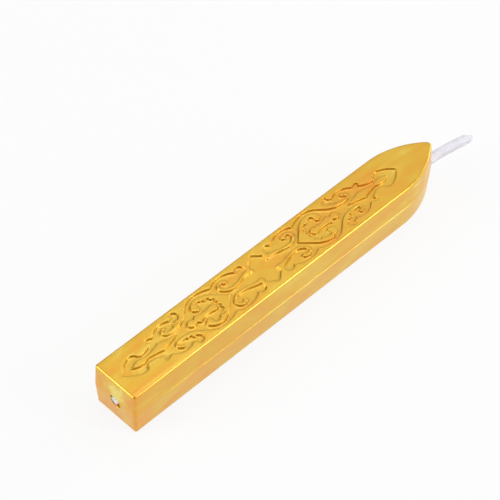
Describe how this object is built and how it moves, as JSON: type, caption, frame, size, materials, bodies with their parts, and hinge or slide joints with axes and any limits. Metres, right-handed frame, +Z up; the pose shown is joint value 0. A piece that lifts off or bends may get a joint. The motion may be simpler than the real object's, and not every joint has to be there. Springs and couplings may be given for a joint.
{
  "type": "sealing wax stick",
  "caption": "Square bar of sealing wax with raised scrollwork on its top face, a pointed tip and a cast-in wick that is lit to drip wax for letter seals.",
  "frame": {"origin": "middle of the flat underside, half way along the wax bar", "axes": "+X along the bar to the pointed tip and the wick's free end, +Z up through the scrollwork face"},
  "size_m": [0.102, 0.012, 0.0113],
  "materials": {
    "gold_wax": "satin pearl gold wax",
    "wick_cotton": "braided white cotton",
    "wick_wax": "thin white priming wax, slightly translucent"
  },
  "bodies": {
    "root": {"wax_body": "gold_wax", "wick_core": "wick_cotton", "wick_coat": "wick_wax"}
  },
  "joints": []
}
